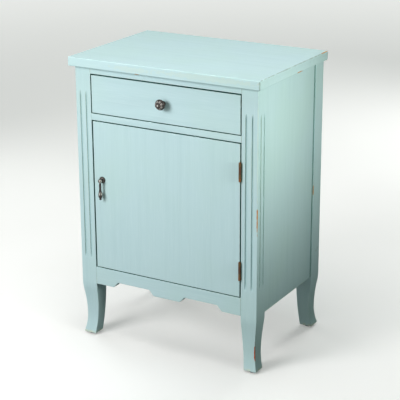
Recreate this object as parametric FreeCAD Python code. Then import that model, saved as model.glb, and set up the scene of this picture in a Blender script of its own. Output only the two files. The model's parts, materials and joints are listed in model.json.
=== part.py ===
"""Storage end table: one inset drawer over one inset door, on four sabre-curved legs.

Millimetres. +Z is up, the front faces -Y, and +X is to the right of someone facing the front.
The origin lies on the floor, at the centre of the overall footprint with the knob included.
"""
import FreeCAD
import Part
import math
import os

Vec = FreeCAD.Vector

# Top board and overall size
OVERALL_HEIGHT = 711.0
TOP_WIDTH = 508.0
TOP_DEPTH = 350.0
TOP_THICKNESS = 22.0
TOP_SIDE_OVERHANG = 10.5
TOP_FRONT_OVERHANG = 14.0
TOP_EDGE_RADIUS = 2.0

# Heights of the front, from the top board down; the door takes what is left between
TOP_RAIL_HEIGHT = 16.0
DRAWER_OPENING_HEIGHT = 96.0
DRAWER_RAIL_HEIGHT = 16.0
APRON_HEIGHT = 45.0
LEG_HEIGHT = 142.0

# Legs: a square post above, two bandsawn curves below the case
LEG_SIDE = 42.0
LEG_EDGE_RADIUS = 1.2
LEG_WAIST_INSET = 7.0
LEG_WAIST_HEIGHT = 54.0
LEG_KNEE_SHARE = 0.25
FOOT_WIDTH = 33.5
FOOT_CHAMFER = 2.0

# Flutes on the front posts, with run-out ends
FLUTE_COUNT = 2
FLUTE_EDGE_DISTANCE = 13.5
FLUTE_PITCH = 16.0
FLUTE_WIDTH = 5.0
FLUTE_DEPTH = 2.3
FLUTE_RUNOUT_RADIUS = 45.0
FLUTE_TOP_MARGIN = 59.0
FLUTE_BOTTOM_MARGIN = 66.0

# Glides nailed under the feet
GLIDE_RADIUS = 11.0
GLIDE_HEIGHT = 4.0
GLIDE_EDGE_CHAMFER = 1.2
GLIDE_NAIL_RADIUS = 1.3
GLIDE_NAIL_LENGTH = 14.0

# Panels held in grooves of the legs
SIDE_PANEL_THICKNESS = 12.0
SIDE_PANEL_RECESS = 4.0
BACK_PANEL_THICKNESS = 6.0
BACK_PANEL_RECESS = 6.0
PANEL_TONGUE = 8.0

# Rails tenoned into the legs
RAIL_THICKNESS = 20.0
DRAWER_RAIL_DEPTH = 60.0
REAR_RAIL_THICKNESS = 18.0
TENON_LENGTH = 20.0
TENON_SHOULDER_SHARE = 0.25
APRON_CENTRE_WIDTH = 74.0
APRON_NOTCH_WIDTH = 90.0
APRON_SLANT_RUN = 12.0
APRON_NOTCH_RISE = 14.0
APRON_CORNER_RADIUS = 5.0
BOARD_EDGE_RADIUS = 1.0

# Cupboard floor on its cleats
FLOOR_THICKNESS = 12.0
FLOOR_CLEAT_WIDTH = 16.0
FLOOR_CLEAT_HEIGHT = 18.0

# What the drawer runs on, between and under
RUNNER_THICKNESS = 12.0
RUNNER_MARGIN = 2.0
RUNNER_HOUSING = 6.0
GUIDE_HEIGHT = 20.0
GUIDE_CLEARANCE = 1.0
STOP_WIDTH = 40.0
STOP_DEPTH = 15.0
STOP_HEIGHT = 6.0
STOP_OFFSET = 120.0
STOP_CLEARANCE = 0.3

# Drawer
DRAWER_REAR_CLEARANCE = 26.0
DRAWER_FRONT_THICKNESS = 19.0
DRAWER_SIDE_THICKNESS = 12.0
DRAWER_BACK_THICKNESS = 12.0
DRAWER_BOTTOM_THICKNESS = 5.0
DRAWER_TOP_GAP = 3.0
DRAWER_BOTTOM_GAP = 2.0
DRAWER_SIDE_GAP = 2.5
DRAWER_RUNNING_CLEARANCE = 0.3
DRAWER_BOTTOM_LIFT = 10.0
DRAWER_GROOVE_DEPTH = 6.0
DRAWER_BACK_DADO = 4.0
DRAWER_BACK_SETBACK = 6.0
DRAWER_BACK_DROP = 8.0
TAIL_COUNT = 3
TAIL_LAP = 5.0
TAIL_WIDTH_SHARE = 0.72
TAIL_SLOPE_SHARE = 0.14

# Cast knob of the drawer
KNOB_PROJECTION = 28.0
KNOB_RADIUS = 12.8
KNOB_RISE = 1.6
KNOB_BASE_RADIUS = 5.2
KNOB_BASE_HEIGHT = 1.6
KNOB_SOCKET_DEPTH = 12.0
KNOB_BOSS_RADIUS = 4.4
KNOB_BOSS_PROUD = 1.6
KNOB_PETAL_COUNT = 8
KNOB_PETAL_RADIUS = 3.3
KNOB_PETAL_PROUD = 0.9
KNOB_NECK_SHARES = ((0.13, 0.37), (0.25, 0.32), (0.37, 0.42))
KNOB_RIM_SHARES = ((0.48, 0.92), (0.56, 1.00), (0.64, 0.94))
KNOB_PETAL_CIRCLE_SHARE = 0.60

# Door
DOOR_THICKNESS = 19.0
DOOR_TOP_GAP = 2.5
DOOR_BOTTOM_GAP = 2.0
DOOR_FREE_GAP = 3.5
DOOR_HINGE_GAP = 3.0

# Butt hinges, let into the door edge and the leg
HINGE_HEIGHT = 42.5
HINGE_END_OFFSET = 44.0
BARREL_RADIUS = 3.0
BARREL_STANDOFF = 0.3
HINGE_PIN_RADIUS = 1.5
HINGE_PIN_CLEARANCE = 0.05
HINGE_PIN_HEAD_RADIUS = 2.6
HINGE_PIN_HEAD_HEIGHT = 1.4
KNUCKLE_COUNT = 5
KNUCKLE_GAP = 0.3
LEAF_THICKNESS = 1.2
LEAF_INLET = 0.5
LEAF_WIDTH = 16.0
LEAF_CLEARANCE = 0.3
HINGE_SCREW_SPACING = 26.0
HINGE_SCREW_SETBACK = 9.0

# Drop pull of the door
PULL_EDGE_DISTANCE = 23.0
PULL_TOP_DISTANCE = 143.0
ROSETTE_RADIUS = 8.0
ROSETTE_RIM_HEIGHT = 1.5
ROSETTE_DOME_HEIGHT = 4.0
ROSETTE_SOCKET_DEPTH = 5.5
PULL_POST_RADIUS = 3.2
PULL_PIVOT_STANDOFF = 11.0
PULL_BALL_RADIUS = 5.0
PULL_EYE_RADIUS = 3.6
PULL_EYE_THICKNESS = 2.8
PULL_EYE_CLEARANCE = 0.3
PULL_PIN_RADIUS = 1.0
PULL_PIN_CLEARANCE = 0.05
PULL_NECK_DEPTH = 4.0
DROP_LENGTH = 47.5
DROP_RADIUS = 5.3
DROP_TIP_RADIUS = 2.6
DROP_STEM_SHARES = ((0.14, 0.52), (0.40, 0.50))
DROP_FLARE_SHARES = ((0.40, 0.50), (0.54, 0.62), (0.66, 0.92))
DROP_BELLY_SHARES = ((0.66, 0.92), (0.75, 1.00), (0.87, 0.74))
DROP_WAIST_SHARES = (0.92, 0.44)

# Magnetic catch under the drawer rail and its strike on the door
CATCH_EDGE_DISTANCE = 60.0
CATCH_WIDTH = 30.0
CATCH_HEIGHT = 13.0
CATCH_DEPTH = 16.0
CATCH_EAR_LENGTH = 9.0
CATCH_EAR_THICKNESS = 2.5
CATCH_GAP = 0.3
MAGNET_WIDTH = 22.0
MAGNET_HEIGHT = 7.0
MAGNET_DEPTH = 11.0
STRIKE_WIDTH = 26.0
STRIKE_HEIGHT = 10.0
STRIKE_THICKNESS = 1.0

# Screws, by radius and by length under the head
TOP_SCREW = {"head": 4.0, "shank": 2.1, "length": 32.0}
HINGE_SCREW = {"head": 2.6, "shank": 1.4, "length": 13.0}
STRIKE_SCREW = {"head": 2.4, "shank": 1.3, "length": 11.0}
CATCH_SCREW = {"head": 3.0, "shank": 1.5, "length": 13.0}
PULL_SCREW = {"head": 4.0, "shank": 2.0}
PAN_HEAD_HEIGHT = 2.2
TOP_SCREW_SPACING = 140.0
SCREW_CLEARANCE = 0.1

# Fit of glued joints, how far a cut runs past the face that it opens, and how close points count as one
JOINT_CLEARANCE = 0.1
OVERRUN = 1.0
CUT_TOLERANCE = 0.001

# Planes of the case
X_OUT = TOP_WIDTH / 2 - TOP_SIDE_OVERHANG
X_OPEN = X_OUT - LEG_SIDE
X_PANEL_OUT = X_OUT - SIDE_PANEL_RECESS
X_PANEL_IN = X_PANEL_OUT - SIDE_PANEL_THICKNESS
KNOB_PROUD = max(KNOB_PROJECTION - TOP_FRONT_OVERHANG, 0)
Y_BACK = (TOP_DEPTH + KNOB_PROUD) / 2
Y_TOP_FRONT = Y_BACK - TOP_DEPTH
Y_FACE = Y_TOP_FRONT + TOP_FRONT_OVERHANG
Y_RAIL_BACK = Y_FACE + RAIL_THICKNESS
Y_DRAWER_RAIL_BACK = Y_FACE + DRAWER_RAIL_DEPTH
Y_FRONT_LEG_BACK = Y_FACE + LEG_SIDE
Y_REAR_LEG_FRONT = Y_BACK - LEG_SIDE
Y_BACK_PANEL_REAR = Y_BACK - BACK_PANEL_RECESS
Y_BACK_PANEL_FRONT = Y_BACK_PANEL_REAR - BACK_PANEL_THICKNESS
Y_REAR_RAIL_FRONT = Y_BACK_PANEL_FRONT - REAR_RAIL_THICKNESS
Z_CASE_TOP = OVERALL_HEIGHT - TOP_THICKNESS
Z_DRAWER_TOP = Z_CASE_TOP - TOP_RAIL_HEIGHT
Z_DRAWER_FLOOR = Z_DRAWER_TOP - DRAWER_OPENING_HEIGHT
Z_DOOR_TOP = Z_DRAWER_FLOOR - DRAWER_RAIL_HEIGHT
Z_CASE_BOTTOM = LEG_HEIGHT
Z_DOOR_FLOOR = Z_CASE_BOTTOM + APRON_HEIGHT
Z_FLOOR_UNDER = Z_DOOR_FLOOR - FLOOR_THICKNESS
Z_FOOT = GLIDE_HEIGHT

# Planes of the drawer
X_DRAWER = X_OPEN - DRAWER_SIDE_GAP
X_DRAWER_IN = X_DRAWER - DRAWER_SIDE_THICKNESS
X_GUIDE = X_DRAWER + GUIDE_CLEARANCE
X_BEARING = X_DRAWER_IN - RUNNER_MARGIN
Y_DRAWER_FRONT_BACK = Y_FACE + DRAWER_FRONT_THICKNESS
Y_DRAWER_REAR = Y_REAR_RAIL_FRONT - DRAWER_REAR_CLEARANCE
Y_DRAWER_BACK_REAR = Y_DRAWER_REAR - DRAWER_BACK_SETBACK
Y_RUN_START = max(Y_DRAWER_RAIL_BACK, Y_FRONT_LEG_BACK)
Z_DRAWER_FRONT_LOW = Z_DRAWER_FLOOR + DRAWER_BOTTOM_GAP
Z_DRAWER_SIDE_LOW = Z_DRAWER_FLOOR + DRAWER_RUNNING_CLEARANCE
Z_DRAWER_HIGH = Z_DRAWER_TOP - DRAWER_TOP_GAP
Z_DRAWER_BOTTOM_LOW = Z_DRAWER_FLOOR + DRAWER_BOTTOM_LIFT
Z_DRAWER_BOTTOM_HIGH = Z_DRAWER_BOTTOM_LOW + DRAWER_BOTTOM_THICKNESS
Z_KNOB = (Z_DRAWER_FLOOR + Z_DRAWER_TOP) / 2 + KNOB_RISE

# Planes of the door and the axis of its hinges
X_DOOR_FREE = -X_OPEN + DOOR_FREE_GAP
X_DOOR_HINGE = X_OPEN - DOOR_HINGE_GAP
Y_DOOR_BACK = Y_FACE + DOOR_THICKNESS
Z_DOOR_LOW = Z_DOOR_FLOOR + DOOR_BOTTOM_GAP
Z_DOOR_HIGH = Z_DOOR_TOP - DOOR_TOP_GAP
X_PIN = X_OPEN - DOOR_HINGE_GAP / 2
Y_PIN = Y_FACE - BARREL_RADIUS - BARREL_STANDOFF
X_FRAME_LEAF_FACE = X_OPEN + LEAF_INLET - LEAF_THICKNESS
X_DOOR_LEAF_FACE = X_DOOR_HINGE - LEAF_INLET + LEAF_THICKNESS
HINGE_LOWS = {
    "upper": Z_DOOR_HIGH - HINGE_END_OFFSET - HINGE_HEIGHT,
    "lower": Z_DOOR_LOW + HINGE_END_OFFSET,
}

# Places of the pull and the catch
X_PULL = X_DOOR_FREE + PULL_EDGE_DISTANCE
Z_PULL = Z_DOOR_HIGH - PULL_TOP_DISTANCE
Y_PULL_PIVOT = Y_FACE - PULL_PIVOT_STANDOFF
PULL_SLOT = PULL_EYE_THICKNESS + 2 * PULL_EYE_CLEARANCE
X_CATCH = -X_OPEN + CATCH_EDGE_DISTANCE
Y_CATCH = Y_DOOR_BACK + STRIKE_THICKNESS + CATCH_GAP
Z_CATCH_MIDDLE = Z_DOOR_TOP - CATCH_EAR_THICKNESS - (CATCH_HEIGHT - CATCH_EAR_THICKNESS) / 2
Z_STRIKE_MIDDLE = min(Z_CATCH_MIDDLE, Z_DOOR_HIGH - STRIKE_HEIGHT / 2)


# Shared helpers

def block(limits):
    """Box between two corners, given as x0, x1, y0, y1, z0, z1."""
    x0, x1, y0, y1, z0, z1 = limits
    return Part.makeBox(x1 - x0, y1 - y0, z1 - z0, Vec(x0, y0, z0))


def grown(limits, room=JOINT_CLEARANCE):
    """The same box with room on every side, for the recess that takes it."""
    x0, x1, y0, y1, z0, z1 = limits
    return block((x0 - room, x1 + room, y0 - room, y1 + room, z0 - room, z1 + room))


def mirrored(shape):
    """The other hand, across the middle plane of the table."""
    return shape.mirror(Vec(0, 0, 0), Vec(1, 0, 0))


def mirrored_limits(limits):
    x0, x1, y0, y1, z0, z1 = limits
    return (-x1, -x0, y0, y1, z0, z1)


def front_edges(shape):
    """Edges that lie in the front plane of the case."""
    return [edge for edge in shape.Edges if abs(edge.BoundBox.YMax - Y_FACE) < JOINT_CLEARANCE]


def eased_front(shape):
    return shape.makeFillet(BOARD_EDGE_RADIUS, front_edges(shape))


def turned(edges):
    """Solid of revolution about Z of a closed outline in the XZ plane."""
    face = Part.Face(Part.Wire(edges))
    return face.revolve(Vec(0, 0, 0), Vec(0, 0, 1), 360)


def line(start, end):
    return Part.LineSegment(start, end).toShape()


def arc(points):
    """Arc from the first point through the second to the third."""
    return Part.Arc(*points).toShape()


def chord_radius(height, inset):
    """Radius of an arc that starts square to the inset and moves in by it over the height."""
    return (height ** 2 + inset ** 2) / (2 * inset)


def placed(shape, point, direction):
    """Copy of a shape made along +Z, turned to the direction and moved to the point."""
    moved = shape.copy()
    moved.Placement = FreeCAD.Placement(point, FreeCAD.Rotation(Vec(0, 0, 1), direction))
    return moved


# Screws

def sunk_screw(screw, point, direction, room=0):
    """Countersunk screw with its head flush at the point; room makes the hole for it."""
    sink = screw["head"] - screw["shank"]
    tip = screw["shank"] + room
    head = Part.makeCone(screw["head"] + room, tip, sink)
    shank = Part.makeCylinder(tip, screw["length"] - screw["shank"])
    point_cone = Part.makeCone(tip, room, screw["shank"] + room, Vec(0, 0, screw["length"] - screw["shank"]))
    return placed(head.fuse([shank, point_cone]).removeSplitter(), point, direction)


def pan_screw(screw, length, point, direction, room=0):
    """Screw with a domed head standing on the face at the point."""
    head = Part.makeCylinder(screw["head"] + room, PAN_HEAD_HEIGHT, Vec(0, 0, -PAN_HEAD_HEIGHT))
    rim = [edge for edge in head.Edges if edge.BoundBox.ZMax < -PAN_HEAD_HEIGHT / 2]
    head = head.makeChamfer(PAN_HEAD_HEIGHT / 2, rim)
    shank = Part.makeCylinder(screw["shank"] + room, length + room)
    return placed(head.fuse(shank).removeSplitter(), point, direction)


def top_screws(room=0):
    """Screws up through both kickers into the top board, two to each."""
    x = (X_BEARING + X_PANEL_IN) / 2
    y_middle = (Y_FRONT_LEG_BACK + Y_REAR_LEG_FRONT) / 2
    screws = []
    for side in (-1, 1):
        for end in (-1, 1):
            point = Vec(side * x, y_middle + end * TOP_SCREW_SPACING / 2, Z_DRAWER_TOP)
            screws.append(sunk_screw(TOP_SCREW, point, Vec(0, 0, 1), room))
    return screws


def hinge_screws(leaf_face, direction, room=0):
    """Two screws in one leaf of each hinge."""
    screws = []
    for low in HINGE_LOWS.values():
        for end in (-1, 1):
            z = low + HINGE_HEIGHT / 2 + end * HINGE_SCREW_SPACING / 2
            point = Vec(leaf_face, Y_FACE + HINGE_SCREW_SETBACK, z)
            screws.append(sunk_screw(HINGE_SCREW, point, direction, room))
    return screws


def frame_hinge_screws(room=0):
    return hinge_screws(X_FRAME_LEAF_FACE, Vec(1, 0, 0), room)


def door_hinge_screws(room=0):
    return hinge_screws(X_DOOR_LEAF_FACE, Vec(-1, 0, 0), room)


def strike_screw(room=0):
    point = Vec(X_CATCH, Y_DOOR_BACK + STRIKE_THICKNESS, Z_STRIKE_MIDDLE)
    return sunk_screw(STRIKE_SCREW, point, Vec(0, -1, 0), room)


def catch_screws(room=0):
    """One screw up through each ear of the catch."""
    reach = (CATCH_WIDTH + CATCH_EAR_LENGTH) / 2
    screws = []
    for side in (-1, 1):
        point = Vec(X_CATCH + side * reach, Y_CATCH + CATCH_DEPTH / 2, Z_DOOR_TOP - CATCH_EAR_THICKNESS)
        screws.append(pan_screw(CATCH_SCREW, CATCH_SCREW["length"], point, Vec(0, 0, 1), room))
    return screws


def knob_screw(room=0):
    """Machine screw from inside the drawer into the knob."""
    length = DRAWER_FRONT_THICKNESS + KNOB_SOCKET_DEPTH - JOINT_CLEARANCE
    return pan_screw(PULL_SCREW, length, Vec(0, Y_DRAWER_FRONT_BACK, Z_KNOB), Vec(0, -1, 0), room)


def pull_screw(room=0):
    """Machine screw from the back of the door into the rosette."""
    length = DOOR_THICKNESS + ROSETTE_SOCKET_DEPTH - JOINT_CLEARANCE
    return pan_screw(PULL_SCREW, length, Vec(X_PULL, Y_DOOR_BACK, Z_PULL), Vec(0, -1, 0), room)


# Limits that two pieces share

def tenon_limits(y0, y1, z0, z1):
    """Tenons on both ends of a rail of this section, as one bar through the rail."""
    y_shoulder = TENON_SHOULDER_SHARE * (y1 - y0)
    z_shoulder = TENON_SHOULDER_SHARE * (z1 - z0)
    reach = X_OPEN + TENON_LENGTH
    return (-reach, reach, y0 + y_shoulder, y1 - y_shoulder, z0 + z_shoulder, z1 - z_shoulder)


TOP_RAIL_SECTION = (Y_FACE, Y_RAIL_BACK, Z_DRAWER_TOP, Z_CASE_TOP)
DRAWER_RAIL_SECTION = (Y_FACE, Y_DRAWER_RAIL_BACK, Z_DOOR_TOP, Z_DRAWER_FLOOR)
DRAWER_RAIL_JOINT = (Y_FACE, min(Y_DRAWER_RAIL_BACK, Y_FRONT_LEG_BACK), Z_DOOR_TOP, Z_DRAWER_FLOOR)
APRON_JOINT = (Y_FACE, Y_RAIL_BACK, Z_CASE_BOTTOM + APRON_NOTCH_RISE, Z_DOOR_FLOOR)
REAR_DRAWER_RAIL_SECTION = (Y_REAR_RAIL_FRONT, Y_BACK_PANEL_FRONT, Z_DOOR_TOP, Z_DRAWER_FLOOR)
REAR_FLOOR_RAIL_SECTION = (Y_REAR_RAIL_FRONT, Y_BACK_PANEL_FRONT, Z_CASE_BOTTOM, Z_FLOOR_UNDER)
LEFT_SIDE_PANEL = (
    -X_PANEL_OUT,
    -X_PANEL_IN,
    Y_FRONT_LEG_BACK - PANEL_TONGUE,
    Y_REAR_LEG_FRONT + PANEL_TONGUE,
    Z_CASE_BOTTOM,
    Z_CASE_TOP,
)
BACK_PANEL = (
    -X_OPEN - PANEL_TONGUE,
    X_OPEN + PANEL_TONGUE,
    Y_BACK_PANEL_FRONT,
    Y_BACK_PANEL_REAR,
    Z_CASE_BOTTOM,
    Z_CASE_TOP,
)
LEFT_RUNNER = (
    -X_GUIDE,
    -X_BEARING,
    Y_DRAWER_RAIL_BACK - RUNNER_HOUSING,
    Y_REAR_RAIL_FRONT + RUNNER_HOUSING,
    Z_DRAWER_FLOOR - RUNNER_THICKNESS,
    Z_DRAWER_FLOOR,
)
DRAWER_BOTTOM = (
    -X_DRAWER_IN - DRAWER_GROOVE_DEPTH,
    X_DRAWER_IN + DRAWER_GROOVE_DEPTH,
    Y_DRAWER_FRONT_BACK - DRAWER_GROOVE_DEPTH,
    Y_DRAWER_BACK_REAR,
    Z_DRAWER_BOTTOM_LOW,
    Z_DRAWER_BOTTOM_HIGH,
)
DRAWER_BACK = (
    -X_DRAWER_IN - DRAWER_BACK_DADO,
    X_DRAWER_IN + DRAWER_BACK_DADO,
    Y_DRAWER_BACK_REAR - DRAWER_BACK_THICKNESS,
    Y_DRAWER_BACK_REAR,
    Z_DRAWER_BOTTOM_HIGH,
    Z_DRAWER_HIGH - DRAWER_BACK_DROP,
)
CATCH_MAGNET = (
    X_CATCH - MAGNET_WIDTH / 2,
    X_CATCH + MAGNET_WIDTH / 2,
    Y_CATCH,
    Y_CATCH + MAGNET_DEPTH,
    Z_CATCH_MIDDLE - MAGNET_HEIGHT / 2,
    Z_CATCH_MIDDLE + MAGNET_HEIGHT / 2,
)


# Legs

def leg_outline(spot):
    """Closed outline of the leg, whose outer face is at inset 0; spot places an inset and a height."""
    z_arc_end = Z_FOOT + FOOT_CHAMFER
    sum_radius = chord_radius(Z_CASE_BOTTOM - LEG_WAIST_HEIGHT, LEG_WAIST_INSET)
    knee_radius = LEG_KNEE_SHARE * sum_radius
    upper_radius = sum_radius - knee_radius
    turn = math.acos(1 - LEG_WAIST_INSET / sum_radius)
    lower_radius = chord_radius(LEG_WAIST_HEIGHT - z_arc_end, LEG_WAIST_INSET)
    lower_turn = math.asin((LEG_WAIST_HEIGHT - z_arc_end) / lower_radius)
    inner_radius = chord_radius(Z_CASE_BOTTOM - z_arc_end, LEG_SIDE - FOOT_WIDTH)
    inner_turn = math.asin((Z_CASE_BOTTOM - z_arc_end) / inner_radius)

    def knee(angle):
        return spot(knee_radius * (1 - math.cos(angle)), Z_CASE_BOTTOM - knee_radius * math.sin(angle))

    def hollow(radius, angle):
        inset = LEG_WAIST_INSET - radius * (1 - math.cos(angle))
        return spot(inset, LEG_WAIST_HEIGHT + radius * math.sin(angle))

    def inner(angle):
        inset = LEG_SIDE - inner_radius * (1 - math.cos(angle))
        return spot(inset, Z_CASE_BOTTOM - inner_radius * math.sin(angle))

    top_outer = spot(0, Z_CASE_TOP)
    top_inner = spot(LEG_SIDE, Z_CASE_TOP)
    foot_outer = spot(FOOT_CHAMFER, Z_FOOT)
    foot_inner = spot(FOOT_WIDTH - FOOT_CHAMFER, Z_FOOT)
    edges = [
        line(top_outer, knee(0)),
        arc([knee(0), knee(turn / 2), knee(turn)]),
        arc([hollow(upper_radius, turn * step) for step in (1, 0.5, 0)]),
        arc([hollow(lower_radius, -lower_turn * step) for step in (0, 0.5, 1)]),
        line(hollow(lower_radius, -lower_turn), foot_outer),
        line(foot_outer, foot_inner),
        line(foot_inner, inner(inner_turn)),
        arc([inner(inner_turn), inner(inner_turn / 2), inner(0)]),
        line(inner(0), top_inner),
        line(top_inner, top_outer),
    ]
    return Part.Face(Part.Wire(edges))


def leg_stick():
    """A leg in its own corner: outer faces at x = 0 and y = 0, sawn to the same outline both ways."""
    sawn_across = leg_outline(lambda inset, z: Vec(inset, 0, z)).extrude(Vec(0, LEG_SIDE, 0))
    sawn_along = leg_outline(lambda inset, z: Vec(0, inset, z)).extrude(Vec(LEG_SIDE, 0, 0))
    stick = sawn_across.common([sawn_along], CUT_TOLERANCE).Solids[0]
    long_edges = [edge for edge in stick.Edges if edge.BoundBox.ZLength > FOOT_CHAMFER + OVERRUN]
    return stick.makeFillet(LEG_EDGE_RADIUS, long_edges)


def flute_cutter():
    """Round-bottomed cut in the face y = 0 at x = 0, lifting out of the face on an arc at both ends."""
    radius = chord_radius(FLUTE_WIDTH / 2, FLUTE_DEPTH)
    y_run = FLUTE_DEPTH - radius
    lift_turn = math.acos(1 - (FLUTE_DEPTH + OVERRUN) / FLUTE_RUNOUT_RADIUS)
    fade_turn = math.acos(1 - FLUTE_DEPTH / FLUTE_RUNOUT_RADIUS)
    fade_length = FLUTE_RUNOUT_RADIUS * math.sin(fade_turn)
    z_high = Z_CASE_TOP - FLUTE_TOP_MARGIN - fade_length
    z_low = Z_CASE_BOTTOM + FLUTE_BOTTOM_MARGIN + fade_length

    def lifted(z, angle):
        lift = FLUTE_RUNOUT_RADIUS * (1 - math.cos(angle))
        return Vec(0, y_run - lift, z + FLUTE_RUNOUT_RADIUS * math.sin(angle))

    path = Part.Wire([
        arc([lifted(z_low, -lift_turn), lifted(z_low, -lift_turn / 2), lifted(z_low, 0)]),
        line(lifted(z_low, 0), lifted(z_high, 0)),
        arc([lifted(z_high, 0), lifted(z_high, lift_turn / 2), lifted(z_high, lift_turn)]),
    ])
    heading = Vec(0, math.sin(lift_turn), math.cos(lift_turn))
    section = Part.Wire(Part.makeCircle(radius, lifted(z_low, -lift_turn), heading))
    return path.makePipeShell([section], True, False)


def fluted(stick):
    """Flutes on both outer faces of a front leg."""
    cutter = flute_cutter()
    cutters = []
    for index in range(FLUTE_COUNT):
        front_cutter = cutter.translated(Vec(FLUTE_EDGE_DISTANCE + index * FLUTE_PITCH, 0, 0))
        cutters.append(front_cutter)
        cutters.append(front_cutter.mirror(Vec(0, 0, 0), Vec(1, -1, 0)))
    return stick.cut(cutters)


def glide_spot(rear):
    """Centre of the left foot, in front or at the rear."""
    y = Y_BACK - FOOT_WIDTH / 2 if rear else Y_FACE + FOOT_WIDTH / 2
    return Vec(-X_OUT + FOOT_WIDTH / 2, y, 0)


def glide(point, room=0):
    """Disc on the floor with its nail up in the foot; room makes the hole for the nail."""
    disc = Part.makeCylinder(GLIDE_RADIUS, GLIDE_HEIGHT)
    floor_edge = [edge for edge in disc.Edges if edge.BoundBox.ZMax < GLIDE_HEIGHT / 2]
    disc = disc.makeChamfer(GLIDE_EDGE_CHAMFER, floor_edge)
    nail = Part.makeCylinder(GLIDE_NAIL_RADIUS + room, GLIDE_HEIGHT + GLIDE_NAIL_LENGTH + room)
    return disc.fuse(nail).removeSplitter().translated(point)


def left_front_leg(stick):
    recesses = [
        grown(tenon_limits(*TOP_RAIL_SECTION)),
        grown(tenon_limits(*DRAWER_RAIL_JOINT)),
        grown(tenon_limits(*APRON_JOINT)),
        grown(LEFT_SIDE_PANEL),
        glide(glide_spot(rear=False), JOINT_CLEARANCE),
    ]
    return fluted(stick).translated(Vec(-X_OUT, Y_FACE, 0)).cut(recesses)


def left_rear_leg(stick):
    recesses = [
        grown(tenon_limits(*REAR_DRAWER_RAIL_SECTION)),
        grown(tenon_limits(*REAR_FLOOR_RAIL_SECTION)),
        grown(LEFT_SIDE_PANEL),
        grown(BACK_PANEL),
        glide(glide_spot(rear=True), JOINT_CLEARANCE),
    ]
    turned_round = stick.mirror(Vec(0, 0, 0), Vec(0, 1, 0))
    return turned_round.translated(Vec(-X_OUT, Y_BACK, 0)).cut(recesses)


def legs():
    stick = leg_stick()
    front_left = left_front_leg(stick)
    rear_left = left_rear_leg(stick)
    hinge_recesses = [frame_leaf_recess(low) for low in HINGE_LOWS.values()]
    front_right = mirrored(front_left).cut(hinge_recesses + frame_hinge_screws(SCREW_CLEARANCE))
    return {
        "front_left_leg": front_left,
        "front_right_leg": front_right,
        "rear_left_leg": rear_left,
        "rear_right_leg": mirrored(rear_left),
    }


def foot_glides():
    left = [glide(glide_spot(rear)) for rear in (False, True)]
    return left + [mirrored(disc) for disc in left]


# Case boards

def top_board():
    board = block((-TOP_WIDTH / 2, TOP_WIDTH / 2, Y_TOP_FRONT, Y_BACK, Z_CASE_TOP, OVERALL_HEIGHT))
    board = board.makeFillet(TOP_EDGE_RADIUS, board.Edges)
    return board.cut(top_screws(SCREW_CLEARANCE))


def rail(section, joint):
    """Rail between two legs with a tenon at each end."""
    body = block((-X_OPEN, X_OPEN) + section)
    return body.fuse(block(tenon_limits(*joint))).removeSplitter()


def front_top_rail():
    body = rail(TOP_RAIL_SECTION, TOP_RAIL_SECTION)
    shown = [edge for edge in front_edges(body) if edge.BoundBox.ZMax < Z_CASE_TOP - JOINT_CLEARANCE]
    return body.makeFillet(BOARD_EDGE_RADIUS, [edge for edge in shown if edge.BoundBox.XLength > X_OPEN])


def drawer_rail():
    body = rail(DRAWER_RAIL_SECTION, DRAWER_RAIL_JOINT)
    shown = [edge for edge in front_edges(body) if edge.BoundBox.XLength > X_OPEN]
    body = body.makeFillet(BOARD_EDGE_RADIUS, shown)
    housings = [grown(LEFT_RUNNER), grown(mirrored_limits(LEFT_RUNNER))]
    return body.cut(housings + catch_screws(SCREW_CLEARANCE))


def rear_drawer_rail():
    body = rail(REAR_DRAWER_RAIL_SECTION, REAR_DRAWER_RAIL_SECTION)
    return body.cut([grown(LEFT_RUNNER), grown(mirrored_limits(LEFT_RUNNER))])


def rear_floor_rail():
    return rail(REAR_FLOOR_RAIL_SECTION, REAR_FLOOR_RAIL_SECTION)


def apron_half_outline():
    """Lower edge of the apron from its middle to its right end."""
    low = Z_CASE_BOTTOM
    high = low + APRON_NOTCH_RISE
    x_centre = APRON_CENTRE_WIDTH / 2
    x_notch = x_centre + APRON_SLANT_RUN
    x_notch_end = x_notch + APRON_NOTCH_WIDTH
    x_end = x_notch_end + APRON_SLANT_RUN
    return [(x_centre, low), (x_notch, high), (x_notch_end, high), (x_end, low), (X_OPEN, low)]


def front_apron():
    """Bottom rail with two raised notches sawn in its lower edge."""
    right = apron_half_outline()
    left = [(-x, z) for x, z in reversed(right)]
    outline = left + right + [(X_OPEN, Z_DOOR_FLOOR), (-X_OPEN, Z_DOOR_FLOOR)]
    points = [Vec(x, Y_FACE, z) for x, z in outline]
    face = Part.Face(Part.makePolygon(points + points[:1]))
    body = face.extrude(Vec(0, RAIL_THICKNESS, 0))
    corners = [edge for edge in body.Edges
               if edge.BoundBox.YLength > RAIL_THICKNESS / 2 and abs(edge.CenterOfMass.x) < X_OPEN - OVERRUN]
    body = body.makeFillet(APRON_CORNER_RADIUS, corners)
    shown = [edge for edge in front_edges(body) if abs(edge.CenterOfMass.x) < X_OPEN - OVERRUN]
    body = body.makeFillet(BOARD_EDGE_RADIUS, shown)
    return body.fuse(block(tenon_limits(*APRON_JOINT))).removeSplitter()


def cabinet_floor():
    """Floor of the cupboard, cut round the four legs."""
    floor = block((-X_PANEL_IN, X_PANEL_IN, Y_RAIL_BACK, Y_BACK_PANEL_FRONT, Z_FLOOR_UNDER, Z_DOOR_FLOOR))
    notches = []
    for side in (-1, 1):
        x0, x1 = sorted((side * X_OPEN, side * X_OUT))
        notches.append(grown((x0, x1, Y_FACE, Y_FRONT_LEG_BACK, Z_FLOOR_UNDER, Z_DOOR_FLOOR)))
        notches.append(grown((x0, x1, Y_REAR_LEG_FRONT, Y_BACK, Z_FLOOR_UNDER, Z_DOOR_FLOOR)))
    return floor.cut(notches)


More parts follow.
